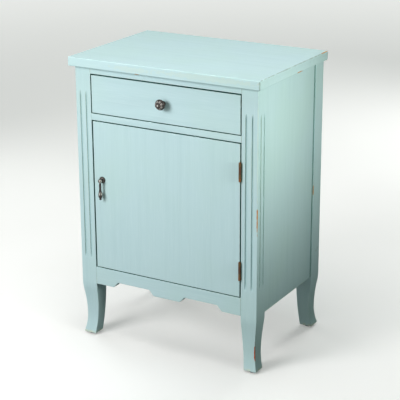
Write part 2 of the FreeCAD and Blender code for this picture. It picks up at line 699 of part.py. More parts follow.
def left_floor_cleat():
    return block((-X_PANEL_IN, -X_PANEL_IN + FLOOR_CLEAT_WIDTH, Y_FRONT_LEG_BACK, Y_REAR_LEG_FRONT,
                  Z_FLOOR_UNDER - FLOOR_CLEAT_HEIGHT, Z_FLOOR_UNDER))


def left_drawer_guide():
    return block((-X_PANEL_IN, -X_GUIDE, Y_RUN_START, Y_REAR_LEG_FRONT,
                  Z_DRAWER_FLOOR - RUNNER_THICKNESS, Z_DRAWER_FLOOR + GUIDE_HEIGHT))


def left_kicker():
    """Strip under the top that keeps the drawer level and takes the screws of the top."""
    strip = block((-X_PANEL_IN, -X_BEARING, Y_FRONT_LEG_BACK, Y_REAR_LEG_FRONT, Z_DRAWER_TOP, Z_CASE_TOP))
    return strip.cut(top_screws(SCREW_CLEARANCE))


def drawer_stops():
    """Two blocks glued on the drawer rail, behind the drawer front."""
    y0 = Y_DRAWER_FRONT_BACK + STOP_CLEARANCE
    stops = []
    for x in (-STOP_OFFSET, STOP_OFFSET):
        stops.append(block((x - STOP_WIDTH / 2, x + STOP_WIDTH / 2, y0, y0 + STOP_DEPTH,
                            Z_DRAWER_FLOOR, Z_DRAWER_FLOOR + STOP_HEIGHT)))
    return stops


# Drawer

def tails():
    """Dovetails on the front end of the left drawer side, as long as the sockets are deep."""
    pitch = (Z_DRAWER_HIGH - Z_DRAWER_SIDE_LOW) / TAIL_COUNT
    length = DRAWER_FRONT_THICKNESS - TAIL_LAP
    wide = TAIL_WIDTH_SHARE * pitch / 2
    narrow = wide - TAIL_SLOPE_SHARE * length
    y_end = Y_DRAWER_FRONT_BACK - length
    shapes = []
    for index in range(TAIL_COUNT):
        z = Z_DRAWER_SIDE_LOW + (index + 0.5) * pitch
        points = [
            Vec(-X_DRAWER, Y_DRAWER_FRONT_BACK, z - narrow),
            Vec(-X_DRAWER, y_end, z - wide),
            Vec(-X_DRAWER, y_end, z + wide),
            Vec(-X_DRAWER, Y_DRAWER_FRONT_BACK, z + narrow),
        ]
        face = Part.Face(Part.makePolygon(points + points[:1]))
        shapes.append(face.extrude(Vec(DRAWER_SIDE_THICKNESS, 0, 0)))
    return shapes


def drawer_front():
    board = block((-X_DRAWER, X_DRAWER, Y_FACE, Y_DRAWER_FRONT_BACK, Z_DRAWER_FRONT_LOW, Z_DRAWER_HIGH))
    board = eased_front(board)
    sockets = tails() + [mirrored(tail) for tail in tails()]
    return board.cut(sockets + [grown(DRAWER_BOTTOM), knob_screw(SCREW_CLEARANCE)])


def left_drawer_side():
    board = block((-X_DRAWER, -X_DRAWER_IN, Y_DRAWER_FRONT_BACK, Y_DRAWER_REAR,
                   Z_DRAWER_SIDE_LOW, Z_DRAWER_HIGH))
    board = board.fuse(tails()).removeSplitter()
    groove = (DRAWER_BOTTOM[0], DRAWER_BOTTOM[1], Y_FACE, Y_DRAWER_REAR + OVERRUN) + DRAWER_BOTTOM[4:]
    return board.cut([grown(groove), grown(DRAWER_BACK)])


def knob():
    """Cast knob: a necked, domed head with petals round a boss, made along +Z and set on the drawer."""
    def spots(shares):
        return [Vec(radius * KNOB_RADIUS, 0, along * KNOB_PROJECTION) for along, radius in shares]

    neck = spots(KNOB_NECK_SHARES)
    rim = spots(KNOB_RIM_SHARES)
    base_low = Vec(KNOB_BASE_RADIUS, 0, 0)
    base_high = Vec(KNOB_BASE_RADIUS, 0, KNOB_BASE_HEIGHT)
    crown = Vec(0, 0, KNOB_PROJECTION - KNOB_BOSS_PROUD)
    dome_radius = chord_radius(rim[2].x, crown.z - rim[2].z)
    dome_centre = Vec(0, 0, crown.z - dome_radius)

    def dome(angle, out=0):
        reach = dome_radius + out
        return dome_centre + Vec(reach * math.sin(angle), 0, reach * math.cos(angle))

    rim_angle = math.asin(rim[2].x / dome_radius)
    body = turned([
        line(Vec(0, 0, 0), base_low),
        line(base_low, base_high),
        line(base_high, neck[0]),
        arc(neck),
        line(neck[2], rim[0]),
        arc(rim),
        arc([rim[2], dome(rim_angle / 2), crown]),
        line(crown, Vec(0, 0, 0)),
    ])
    relief = [Part.makeSphere(KNOB_BOSS_RADIUS, Vec(0, 0, KNOB_PROJECTION - KNOB_BOSS_RADIUS))]
    petal_spot = dome(KNOB_PETAL_CIRCLE_SHARE * rim_angle, KNOB_PETAL_PROUD - KNOB_PETAL_RADIUS)
    petal = Part.makeSphere(KNOB_PETAL_RADIUS, petal_spot)
    for index in range(KNOB_PETAL_COUNT):
        relief.append(petal.rotated(Vec(0, 0, 0), Vec(0, 0, 1), 360 * index / KNOB_PETAL_COUNT))
    cast = placed(body.fuse(relief), Vec(0, Y_FACE, Z_KNOB), Vec(0, -1, 0))
    return cast.cut(knob_screw(SCREW_CLEARANCE))


# Door and hinges

def door_panel():
    board = block((X_DOOR_FREE, X_DOOR_HINGE, Y_FACE, Y_DOOR_BACK, Z_DOOR_LOW, Z_DOOR_HIGH))
    board = eased_front(board)
    recesses = [door_leaf_recess(low) for low in HINGE_LOWS.values()]
    holes = door_hinge_screws(SCREW_CLEARANCE) + [pull_screw(SCREW_CLEARANCE), strike_screw(SCREW_CLEARANCE)]
    return board.cut(recesses + holes)


def leaf_limits(x0, x1, low):
    return (x0, x1, Y_PIN, Y_FACE + LEAF_WIDTH, low, low + HINGE_HEIGHT)


def frame_leaf_limits(low):
    return leaf_limits(X_FRAME_LEAF_FACE, X_FRAME_LEAF_FACE + LEAF_THICKNESS, low)


def door_leaf_limits(low):
    return leaf_limits(X_DOOR_LEAF_FACE - LEAF_THICKNESS, X_DOOR_LEAF_FACE, low)


def frame_leaf_recess(low):
    return grown(frame_leaf_limits(low))


def door_leaf_recess(low):
    return grown(door_leaf_limits(low))


def barrel(radius, z0, z1):
    return Part.makeCylinder(radius, z1 - z0, Vec(X_PIN, Y_PIN, z0))


def hinge_leaf(limits, first_knuckle, screws):
    """Leaf with every second knuckle of the barrel, clear of the knuckles of the other leaf."""
    low = limits[4]
    pitch = HINGE_HEIGHT / KNUCKLE_COUNT
    half_gap = KNUCKLE_GAP / 2
    own = []
    other = []
    for index in range(KNUCKLE_COUNT):
        z0 = low + index * pitch
        if index % 2 == first_knuckle:
            own.append(barrel(BARREL_RADIUS, z0 + half_gap, z0 + pitch - half_gap))
        else:
            other.append(barrel(BARREL_RADIUS + LEAF_CLEARANCE, z0 - half_gap, z0 + pitch + half_gap))
    bore = barrel(HINGE_PIN_RADIUS + HINGE_PIN_CLEARANCE, low - OVERRUN, low + HINGE_HEIGHT + OVERRUN)
    leaf = block(limits).cut(other).fuse(own).removeSplitter()
    return leaf.cut([bore] + screws)


def hinge_pin(low):
    """Pin with a button head at each end, fixed in the door leaf."""
    high = low + HINGE_HEIGHT
    shank = barrel(HINGE_PIN_RADIUS, low, high)
    heads = [
        barrel(HINGE_PIN_HEAD_RADIUS, low - HINGE_PIN_HEAD_HEIGHT, low),
        barrel(HINGE_PIN_HEAD_RADIUS, high, high + HINGE_PIN_HEAD_HEIGHT),
    ]
    return shank.fuse(heads).removeSplitter()


def catch_strike():
    plate = block((X_CATCH - STRIKE_WIDTH / 2, X_CATCH + STRIKE_WIDTH / 2, Y_DOOR_BACK,
                   Y_DOOR_BACK + STRIKE_THICKNESS, Z_STRIKE_MIDDLE - STRIKE_HEIGHT / 2,
                   Z_STRIKE_MIDDLE + STRIKE_HEIGHT / 2))
    return plate.cut(strike_screw(SCREW_CLEARANCE))


def catch_housing():
    """Moulded body with a screw ear on each side and a pocket for the magnet."""
    y1 = Y_CATCH + CATCH_DEPTH
    reach = CATCH_WIDTH / 2 + CATCH_EAR_LENGTH
    body = block((X_CATCH - CATCH_WIDTH / 2, X_CATCH + CATCH_WIDTH / 2, Y_CATCH, y1,
                  Z_DOOR_TOP - CATCH_HEIGHT, Z_DOOR_TOP))
    ears = block((X_CATCH - reach, X_CATCH + reach, Y_CATCH, y1,
                  Z_DOOR_TOP - CATCH_EAR_THICKNESS, Z_DOOR_TOP))
    body = body.fuse(ears).removeSplitter()
    return body.cut([grown(CATCH_MAGNET)] + catch_screws(SCREW_CLEARANCE))


# Drop pull

def pull_rosette():
    """Domed rosette and its post, ending in a slotted ball that holds the eye of the drop."""
    rim_low = Vec(ROSETTE_RADIUS, 0, 0)
    rim_high = Vec(ROSETTE_RADIUS, 0, ROSETTE_RIM_HEIGHT)
    dome_end = Vec(PULL_POST_RADIUS, 0, ROSETTE_DOME_HEIGHT)
    bulge = Vec((ROSETTE_RADIUS + PULL_POST_RADIUS) / 2, 0, ROSETTE_DOME_HEIGHT - ROSETTE_RIM_HEIGHT / 2)
    post_end = Vec(PULL_POST_RADIUS, 0, PULL_PIVOT_STANDOFF)
    axis_end = Vec(0, 0, PULL_PIVOT_STANDOFF)
    body = turned([
        line(Vec(0, 0, 0), rim_low),
        line(rim_low, rim_high),
        arc([rim_high, bulge, dome_end]),
        line(dome_end, post_end),
        line(post_end, axis_end),
        line(axis_end, Vec(0, 0, 0)),
    ])
    body = body.fuse(Part.makeSphere(PULL_BALL_RADIUS, axis_end)).removeSplitter()
    cast = placed(body, Vec(X_PULL, Y_FACE, Z_PULL), Vec(0, -1, 0))
    slot_back = Y_PULL_PIVOT + PULL_EYE_RADIUS + PULL_EYE_CLEARANCE
    slot = block((X_PULL - PULL_SLOT / 2, X_PULL + PULL_SLOT / 2, Y_PULL_PIVOT - PULL_BALL_RADIUS - OVERRUN,
                  slot_back, Z_PULL - PULL_BALL_RADIUS - OVERRUN, Z_PULL + PULL_BALL_RADIUS + OVERRUN))
    pin_hole = pull_cross_bar(PULL_PIN_RADIUS, PULL_BALL_RADIUS + OVERRUN)
    return cast.cut([slot, pin_hole, pull_screw(SCREW_CLEARANCE)])


def pull_cross_bar(radius, reach):
    """Round bar along X through the pivot of the drop."""
    return Part.makeCylinder(radius, 2 * reach, Vec(X_PULL - reach, Y_PULL_PIVOT, Z_PULL), Vec(1, 0, 0))


def pull_pin():
    chord = math.sqrt(PULL_BALL_RADIUS ** 2 - PULL_PIN_RADIUS ** 2)
    return pull_cross_bar(PULL_PIN_RADIUS, chord)


def pull_drop():
    """Cast drop: a flat eye on the pin, a slim stem, a swelling belly and a ball at the tip."""
    def spots(shares):
        return [Vec(radius * DROP_RADIUS, 0, -along * DROP_LENGTH) for along, radius in shares]

    stem = spots(DROP_STEM_SHARES)
    flare = spots(DROP_FLARE_SHARES)
    belly = spots(DROP_BELLY_SHARES)
    waist = spots([DROP_WAIST_SHARES])[0]
    stem_top = Vec(0, 0, stem[0].z)
    waist_middle = Vec(0, 0, waist.z)
    body = turned([
        line(stem_top, stem[0]),
        line(stem[0], stem[1]),
        arc(flare),
        arc(belly),
        line(belly[2], waist),
        line(waist, waist_middle),
        line(waist_middle, stem_top),
    ])
    tip = Part.makeSphere(DROP_TIP_RADIUS, Vec(0, 0, DROP_TIP_RADIUS - DROP_LENGTH))
    body = body.fuse(tip).translated(Vec(X_PULL, Y_PULL_PIVOT, Z_PULL))
    half_eye = PULL_EYE_THICKNESS / 2
    neck = block((X_PULL - half_eye, X_PULL + half_eye, Y_PULL_PIVOT - PULL_NECK_DEPTH / 2,
                  Y_PULL_PIVOT + PULL_NECK_DEPTH / 2, Z_PULL + stem_top.z - OVERRUN, Z_PULL))
    eye = pull_cross_bar(PULL_EYE_RADIUS, half_eye)
    pin_bore = pull_cross_bar(PULL_PIN_RADIUS + PULL_PIN_CLEARANCE, PULL_EYE_THICKNESS)
    return body.fuse([neck, eye]).removeSplitter().cut(pin_bore)


# The whole table, by the name of each piece

def case_pieces():
    pieces = legs()
    pieces["top_board"] = top_board()
    pieces["left_side_panel"] = block(LEFT_SIDE_PANEL)
    pieces["right_side_panel"] = block(mirrored_limits(LEFT_SIDE_PANEL))
    pieces["back_panel"] = block(BACK_PANEL)
    pieces["front_top_rail"] = front_top_rail()
    pieces["drawer_rail"] = drawer_rail()
    pieces["front_apron"] = front_apron()
    pieces["rear_drawer_rail"] = rear_drawer_rail()
    pieces["rear_floor_rail"] = rear_floor_rail()
    pieces["cabinet_floor"] = cabinet_floor()
    pieces["drawer_stops"] = Part.makeCompound(drawer_stops())
    pieces["foot_glides"] = Part.makeCompound(foot_glides())
    pieces["top_screws"] = Part.makeCompound(top_screws())
    handed = {
        "floor_cleat": left_floor_cleat(),
        "drawer_runner": block(LEFT_RUNNER),
        "drawer_guide": left_drawer_guide(),
        "kicker": left_kicker(),
    }
    for name, shape in handed.items():
        pieces["left_" + name] = shape
        pieces["right_" + name] = mirrored(shape)
    return pieces


def drawer_pieces():
    left_side = left_drawer_side()
    return {
        "drawer_front": drawer_front(),
        "drawer_left_side": left_side,
        "drawer_right_side": mirrored(left_side),
        "drawer_back": block(DRAWER_BACK),
        "drawer_bottom": block(DRAWER_BOTTOM),
        "drawer_knob": knob(),
        "knob_screw": knob_screw(),
    }


def door_pieces():
    return {
        "door_panel": door_panel(),
        "catch_strike": catch_strike(),
        "strike_screw": strike_screw(),
        "pull_rosette": pull_rosette(),
        "pull_screw": pull_screw(),
        "pull_pin": pull_pin(),
        "pull_drop": pull_drop(),
    }


def hardware_pieces():
    pieces = {
        "catch_housing": catch_housing(),
        "catch_magnet": block(CATCH_MAGNET),
        "catch_screws": Part.makeCompound(catch_screws()),
        "hinge_frame_screws": Part.makeCompound(frame_hinge_screws()),
        "hinge_door_screws": Part.makeCompound(door_hinge_screws()),
    }
    frame_holes = frame_hinge_screws(SCREW_CLEARANCE)
    door_holes = door_hinge_screws(SCREW_CLEARANCE)
    for place, low in HINGE_LOWS.items():
        pieces[place + "_hinge_frame_leaf"] = hinge_leaf(frame_leaf_limits(low), 0, frame_holes)
        pieces[place + "_hinge_door_leaf"] = hinge_leaf(door_leaf_limits(low), 1, door_holes)
        pieces[place + "_hinge_pin"] = hinge_pin(low)
    return pieces


def main():
    os.makedirs("parts", exist_ok=True)
    for group in (case_pieces(), drawer_pieces(), door_pieces(), hardware_pieces()):
        for name, shape in group.items():
            shape.exportStep("parts/" + name + ".step")


main()
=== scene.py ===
"""Looks of the storage end table: brushed aqua paint rubbed at its edges, bare drawer wood, cast bronze.

Metres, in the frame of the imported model: +Z is up, the front faces -Y, and every piece is made in place.
"""
import json
import math

import bmesh
import bpy
from mathutils import Matrix, Vector

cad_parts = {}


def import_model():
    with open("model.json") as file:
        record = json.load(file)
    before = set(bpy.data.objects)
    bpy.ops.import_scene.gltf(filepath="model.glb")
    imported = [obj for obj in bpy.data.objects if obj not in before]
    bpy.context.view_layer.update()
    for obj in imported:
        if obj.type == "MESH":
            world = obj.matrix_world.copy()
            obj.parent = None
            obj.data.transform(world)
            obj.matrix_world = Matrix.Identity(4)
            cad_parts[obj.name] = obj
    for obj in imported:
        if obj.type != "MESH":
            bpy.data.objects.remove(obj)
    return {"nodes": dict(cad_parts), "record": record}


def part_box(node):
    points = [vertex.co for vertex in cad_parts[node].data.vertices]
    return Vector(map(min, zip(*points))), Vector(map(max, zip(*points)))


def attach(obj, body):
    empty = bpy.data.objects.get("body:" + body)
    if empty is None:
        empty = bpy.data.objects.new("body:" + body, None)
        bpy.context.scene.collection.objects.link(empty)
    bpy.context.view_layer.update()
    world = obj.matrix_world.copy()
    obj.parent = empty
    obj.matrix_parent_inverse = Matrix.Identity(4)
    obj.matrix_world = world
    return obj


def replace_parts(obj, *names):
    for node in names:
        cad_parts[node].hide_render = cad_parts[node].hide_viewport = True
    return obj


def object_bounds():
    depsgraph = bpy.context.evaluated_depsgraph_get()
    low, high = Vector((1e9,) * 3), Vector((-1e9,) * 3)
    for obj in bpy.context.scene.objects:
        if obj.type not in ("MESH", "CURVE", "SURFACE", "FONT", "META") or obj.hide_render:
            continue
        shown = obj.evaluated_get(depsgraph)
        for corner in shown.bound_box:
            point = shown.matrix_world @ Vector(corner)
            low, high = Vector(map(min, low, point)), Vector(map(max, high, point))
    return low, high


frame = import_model()
CAD_LOW, CAD_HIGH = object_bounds()
NODES = frame["nodes"]

# The usual curve between the values of a screen and light
SCREEN_WHITE = 255
CURVE_START_SHARE = 0.04045
CURVE_SLOPE = 12.92
CURVE_OFFSET_SHARE = 0.055
CURVE_POWER = 2.4


def light_share(value):
    """Share of light for a screen value from 0 to 255."""
    share = value / SCREEN_WHITE
    if share <= CURVE_START_SHARE:
        return share / CURVE_SLOPE
    return ((share + CURVE_OFFSET_SHARE) / (1 + CURVE_OFFSET_SHARE)) ** CURVE_POWER


def srgb(red, green, blue):
    """Linear colour of the three screen values."""
    return (light_share(red), light_share(green), light_share(blue), 1.0)


# Camera, fitted to the corners of the top, the posts and the feet in the photo
CAMERA_PLACE = Vector((1.5306, -2.6321, 1.3896))
CAMERA_AZIMUTH = math.radians(30.094)
CAMERA_ELEVATION = math.radians(18.89)
CAMERA_ROLL = math.radians(-0.317)
CAMERA_LENS_MM = 118.5
SENSOR_MM = 36.0
UP = Vector((0.0, 0.0, 1.0))

# Studio: the floor and the world are pale where they are seen, and throw little light themselves
WHITE = srgb(255, 255, 255)
FLOOR_REACH = 14.0
FLOOR_COLOUR = srgb(226, 226, 224)
FLOOR_FLECK_COLOUR = srgb(220, 220, 218)
FLOOR_BOUNCE_COLOUR = srgb(64, 72, 66)
FLOOR_ROUGHNESS_SHARE = 0.6
FLOOR_GLOW_SPAN = (0.5, 6.0)
FLOOR_GLOW_SHARES = (0.34, 0.9)
ROOM_COLOUR = srgb(212, 255, 236)
ROOM_STRENGTH = 0.1
BACKDROP_STRENGTH = 0.9
TABLE_MIDDLE = (CAD_LOW + CAD_HIGH) / 2
LIGHTS = {
    "key": {"place": (-0.66, -1.6, 1.2), "across": 0.9, "watts": 26.2, "colour": (1.0, 0.98, 0.99)},
    "top": {"place": (0.14, -0.3, 2.0), "across": 0.9, "watts": 11.8, "colour": (1.0, 0.965, 0.965)},
    "fill": {
        "place": (1.58, -0.31, 0.80), "across": 0.4, "watts": 1.15, "colour": (0.97, 1.0, 0.925),
        "aim": (0.24, -0.09, 0.63), "spread": math.radians(43.6),
    },
    "back": {"place": (0.2, 2.4, 1.4), "across": 1.2, "watts": 24.0, "colour": (1.0, 1.0, 1.0)},
    "left": {"place": (-1.6, 0.6, 1.0), "across": 0.8, "watts": 6.0, "colour": (1.0, 1.0, 1.0)},
    "low": {"place": (-0.5, -3.2, 0.45), "across": 0.8, "watts": 9.5, "colour": (1.0, 1.0, 1.0)},
}

# Noises: frequency per metre, octaves of detail, and the share of its strength that each octave keeps
NOISES = {
    "fine_streaks": (420.0, 4.0, 0.65),
    "broad_streaks": (75.0, 3.0, 0.55),
    "clouds": (4.5, 2.0, 0.55),
    "rub_breaks": (60.0, 3.0, 0.55),
    "chip_breaks": (120.0, 3.0, 0.55),
    "chip_grain": (420.0, 3.0, 0.55),
    "wood_rings": (38.0, 5.0, 0.6),
    "wood_pores": (900.0, 2.0, 0.55),
    "cast_grain": (1400.0, 3.0, 0.55),
    "cast_stain": (260.0, 3.0, 0.55),
    "plated_grain": (700.0, 3.0, 0.55),
    "moulded_grain": (2600.0, 3.0, 0.55),
    "floor_flecks": (4.5, 3.0, 0.55),
}

# Shares of a noise's frequency that are left on each axis, by the axis that the grain runs along
GRAIN_SHARES = {"x": (0.035, 1.0, 1.0), "y": (1.0, 0.035, 1.0), "z": (1.0, 1.0, 0.035)}

# Rays that feel for edges and corners, and the numbers of a mix node's sockets for colours
RAY_SAMPLES = 8
MIX_INPUTS = (0, 6, 7)
MIX_OUTPUT = 2

# Colours of the paint and of what shows through it
PAINT = srgb(190, 218, 222)
PAINT_PALE = srgb(208, 230, 233)
PAINT_DEEP = srgb(166, 199, 202)
PAINT_GREEN = srgb(186, 217, 207)
PAINT_RUBBED = srgb(204, 218, 202)
# Dark teal of glazing and painted shade, laid into corners, flutes and gaps
GLAZE_AND_SHADE = srgb(46, 122, 112)
GLAZE_AND_SHADE_DEEP = srgb(12, 92, 82)
CHIP_WOOD = srgb(214, 152, 64)
CHIP_DARK = srgb(184, 122, 54)
CHIP_RED = srgb(196, 92, 50)
EDGE_GREY = srgb(112, 130, 118)

# Steps of the paint: where each smooth step starts and ends, and the values that it leads from and to
PAINT_SHARES = {
    "broad": (0.4, 0.75, 0.0, 0.19),
    "fine": (0.45, 0.8, 0.0, 0.38),
    "cloud": (0.4, 0.65, 0.0, 0.25),
    "breaks": (0.35, 0.6, 0.0, 1.0),
    "edges": (0.01, 0.2, 0.0, 0.8),
    # Steps of the glazing and painted shade, by how deep a point lies in a corner or gap
    "glaze_and_shade": (0.2, 0.52, 0.0, 0.82),
    "glaze_and_shade_deep": (0.5, 0.75, 0.0, 0.95),
    "roughness": (0.3, 0.7, 0.58, 0.72),
    "shine": (0.3, 0.6, 0.16, 0.0),
    "ragged": (0.3, 0.7, -0.3, 0.3),
    "spot": (1.0, 0.75, 0.0, 1.0),
}
RUBBED_SPOT_SHARE = 0.28
GREY_LINE_SHARE = 0.55
CHIP_ROUGHNESS_SHARE = 0.3
CHIP_DEPTH_SHARE = 2.0

# Reaches of the paint's wear, of its dark glazing with painted shade in corners and gaps, and of its brush
# marks
RUB_RADIUS = 0.004
RED_HEIGHTS = (0.2, 0.1)
SCUFF_HEIGHTS = (0.013, 0.007)
GLAZE_AND_SHADE_REACH = 0.006
BRUSH_RELIEF = 0.00025

# Wear in its places: node, low (0) or high (1) side of its box on each axis, offset from there, and reach
CHIPS = {
    "post_corner": ("front_right_leg", (1, 0, 0), (0.0, 0.0, 0.381), (0.0022, 0.0017, 0.041)),
    "leg_corner": ("front_right_leg", (1, 0, 0), (-0.0068, 0.0068, 0.050), (0.0022, 0.0022, 0.024)),
    "rear_post_corner": ("rear_right_leg", (1, 0, 0), (0.0, 0.0, 0.367), (0.0017, 0.0017, 0.019)),
    "top_rear_edge": ("top_board", (1, 1, 1), (0.0, -0.018, 0.0), (0.0017, 0.022, 0.002)),
    "top_side_edge": ("top_board", (1, 1, 0), (0.0, -0.152, 0.0), (0.0017, 0.016, 0.003)),
    "top_front_edge": ("top_board", (1, 0, 0), (-0.318, 0.0, 0.0), (0.008, 0.0017, 0.002)),
}
RUBBED_SPOTS = {
    "top_front_right": ("top_board", (1, 0, 1), (-0.14, 0.0, -0.009), (0.15, 0.004, 0.007)),
    "top_front_middle": ("top_board", (1, 0, 1), (-0.33, 0.0, -0.012), (0.06, 0.004, 0.007)),
    "post_edge": ("front_right_leg", (1, 0, 0), (0.0, 0.0, 0.52), (0.003, 0.002, 0.16)),
}
GREY_LINES = {
    "top_corner": ("top_board", (1, 0, 0), (0.0, 0.0, 0.011), (0.003, 0.0022, 0.014)),
    "top_right_edge": ("top_board", (1, 0, 1), (0.0, 0.17, 0.0), (0.0017, 0.3, 0.0017)),
    "rear_post_nick": ("rear_right_leg", (1, 0, 0), (0.0, 0.024, 0.202), (0.002, 0.0022, 0.004)),
    "rear_post_scratch": ("rear_right_leg", (1, 0, 0), (0.0, 0.031, 0.208), (0.002, 0.0014, 0.004)),
}

# Colours of the other materials
WOOD_PALE = srgb(214, 180, 134)
WOOD_DEEP = srgb(172, 128, 84)
WOOD_PORE = srgb(122, 84, 52)
BRONZE_DARK = srgb(36, 29, 27)
BRONZE_BROWN = srgb(54, 45, 40)
# Pale bronze of wear, also used for a painted highlight on the ball of the pull
BRONZE_WORN_AND_HIGHLIT = srgb(164, 160, 154)
COPPER_TONES = (srgb(100, 76, 44), srgb(122, 80, 46), srgb(84, 56, 40))
COPPER_DARK = srgb(42, 30, 22)
ZINC = srgb(196, 194, 186)
ZINC_DULL = srgb(142, 140, 134)
MOULDED_COLOURS = {
    "catch_plastic": srgb(96, 66, 44),
    "magnet": srgb(62, 62, 66),
    "glide_plastic": srgb(40, 40, 42),
}

# Steps of the other materials, set out like those of the paint
WOOD_SHARES = {
    "bands": (0.35, 0.65, 0.0, 1.0),
    "pores": (0.6, 0.75, 0.0, 0.6),
    "roughness": (0.3, 0.7, 0.55, 0.72),
}
BRONZE_SHARES = {
    "stain": (0.4, 0.65, 0.0, 1.0),
    "hollow": (0.25, 0.6, 0.0, 0.9),
    "edges": (0.02, 0.25, 0.0, 0.5),
    "worn_and_highlit": (0.66, 1.18, 0.0, 1.0),
    "roughness": (0.3, 0.7, 0.24, 0.38),
}
BRONZE_METALLIC_SHARES = (0.35, 0.95)
BRONZE_STAIN_SHARE = 0.3
COPPER_SHARES = {
    "second_tone": (0.2, 0.5, 0.0, 1.0),
    "third_tone": (0.6, 0.8, 0.0, 1.0),
    "stain": (0.45, 0.7, 0.0, 0.5),
    "hollow": (0.35, 0.8, 0.0, 0.85),
    "metallic": (0.3, 0.7, 0.75, 0.45),
    "roughness": (0.3, 0.7, 0.36, 0.52),
}
ZINC_SHARES = {
    "dull": (0.35, 0.7, 0.0, 1.0),
    "roughness": (0.3, 0.7, 0.28, 0.45),
}
ZINC_METALLIC_SHARE = 1.0
MOULDED_SHARES = {
    "edges": (0.02, 0.25, 0.0, 0.6),
    "mottled": (0.4, 0.8, 0.0, 0.3),
}
MOULDED_ROUGHNESS_SHARES = {
    "catch_plastic": (0.3, 0.7, 0.4, 0.55),
    "magnet": (0.3, 0.7, 0.6, 0.8),
    "glide_plastic": (0.3, 0.7, 0.45, 0.6),
}
MOULDED_PALER_SHARE = 0.25

# Reliefs and wear of the other materials, the reach of wear and of a painted highlight on the ball where
# the drop turns, and the knuckles of a hinge
WOOD_RELIEF = 0.00015
CAST_RELIEF = 0.00012
CAST_EDGE = 0.0006
CAST_HOLLOW = 0.0025
BALL_WEAR_AND_HIGHLIGHT_SPAN = (0.0075, 0.00375)
BALL_WEAR_AND_HIGHLIGHT_SHARES = (0.0, 1.15)
KNUCKLES = 5

# Carving of the knob, along its outline from the drawer to the middle of its front
KNOB_LINE_SHARES = (
    (0.41, 0.0), (0.41, 0.05), (0.37, 0.13), (0.32, 0.25), (0.42, 0.37), (0.78, 0.45), (0.97, 0.51),
    (1.0, 0.57), (0.95, 0.65), (0.83, 0.74), (0.66, 0.83), (0.44, 0.895), (0.22, 0.93), (0.0, 0.942),
)
KNOB_RIM_SHARE = 0.57
KNOB_CENTRE_SHARE = 0.486
KNOB_BOSS_SHARE = 0.25
KNOB_PETAL_SHARES = (0.33, 1.0)
KNOB_TIP_SHARES = (0.0, 0.15)
KNOB_BEAD_SHARES = (0.8, 1.0)
KNOB_BEAD_RUB_SHARE = 0.5
KNOB_PETALS = 8
KNOB_BEADS = 28
KNOB_BOSS_HEIGHT = 0.0016
KNOB_PETAL_HEIGHT = 0.0009
KNOB_VALLEY_DEPTH = 0.0012
KNOB_VEIN_DEPTH = 0.0004
KNOB_BEAD_DEPTH = 0.0005

# Petals and leaves: half of their width in the pitch, start and span of their outline, and their veins
PETAL_HALF_SHARE = 0.48
PETAL_OUTLINE_SHARES = (0.1, 0.8)
VEIN_SHARE = 0.05
VEIN_FADE_SHARE = 0.6
VEIN_DEPTH_SHARE = 0.4

# Carving of the drop, along its outline from its stem to its tip, and its eye and neck
NECK_END_SHARE = 0.15
DROP_LINE_SHARES = (
    (0.0, 0.13), (0.4, 0.132), (0.52, NECK_END_SHARE), (0.51, 0.27), (0.5, 0.4), (0.62, 0.54),
    (0.92, 0.66), (1.0, 0.75), (0.91, 0.82), (0.74, 0.87), (0.52, 0.905), (0.47, 0.92), (0.55, 0.95),
    (0.45, 0.99), (0.0, 1.0),
)
DROP_LEAF_SHARES = (0.46, 0.87)
DROP_COLLAR_SHARES = (0.17, 0.42)
DROP_COLLAR_REACH_SHARE = 0.015
DROP_LEAVES = 6
DROP_LEAF_DEPTH = 0.0006
DROP_COLLAR_DEPTH = 0.0004
EYE_THICKNESS = 0.0028
EYE_BORE = 0.00105
EYE_RUB_SHARE = 0.3
NECK_DEPTH = 0.004
SQUARENESS = 0.45

# Petals on the rosette of the drop pull
ROSETTE_RIM_HEIGHT = 0.0015
ROSETTE_DOME_HEIGHT = 0.004
ROSETTE_DOME_SHARES = ((0.98, 0.0), (0.7, 0.7), (0.43, 1.0))
ROSETTE_PETALS = 10
ROSETTE_PETAL_HEIGHT = 0.0006
ROSETTE_SEAT_DEPTH = 0.0004
ROSETTE_RUB_SHARE = 0.7

# Rows along and segments round the carved surfaces
KNOB_GRID = (78, 144)
ROSETTE_GRID = (39, 144)
DROP_GRID = (78, 72)
EYE_GRID = (24, 48)
NECK_GRID = (8, 24)

# Corners of the carved surfaces: the gap over which they join, and the name for how much they are rubbed
WELD = 0.000001
CARVING = "carving"

# Boards that are brushed from side to side; the others are brushed up and down
LEVEL_BOARDS = (
    "top_board", "front_top_rail", "drawer_rail", "front_apron", "drawer_front", "cabinet_floor",
)


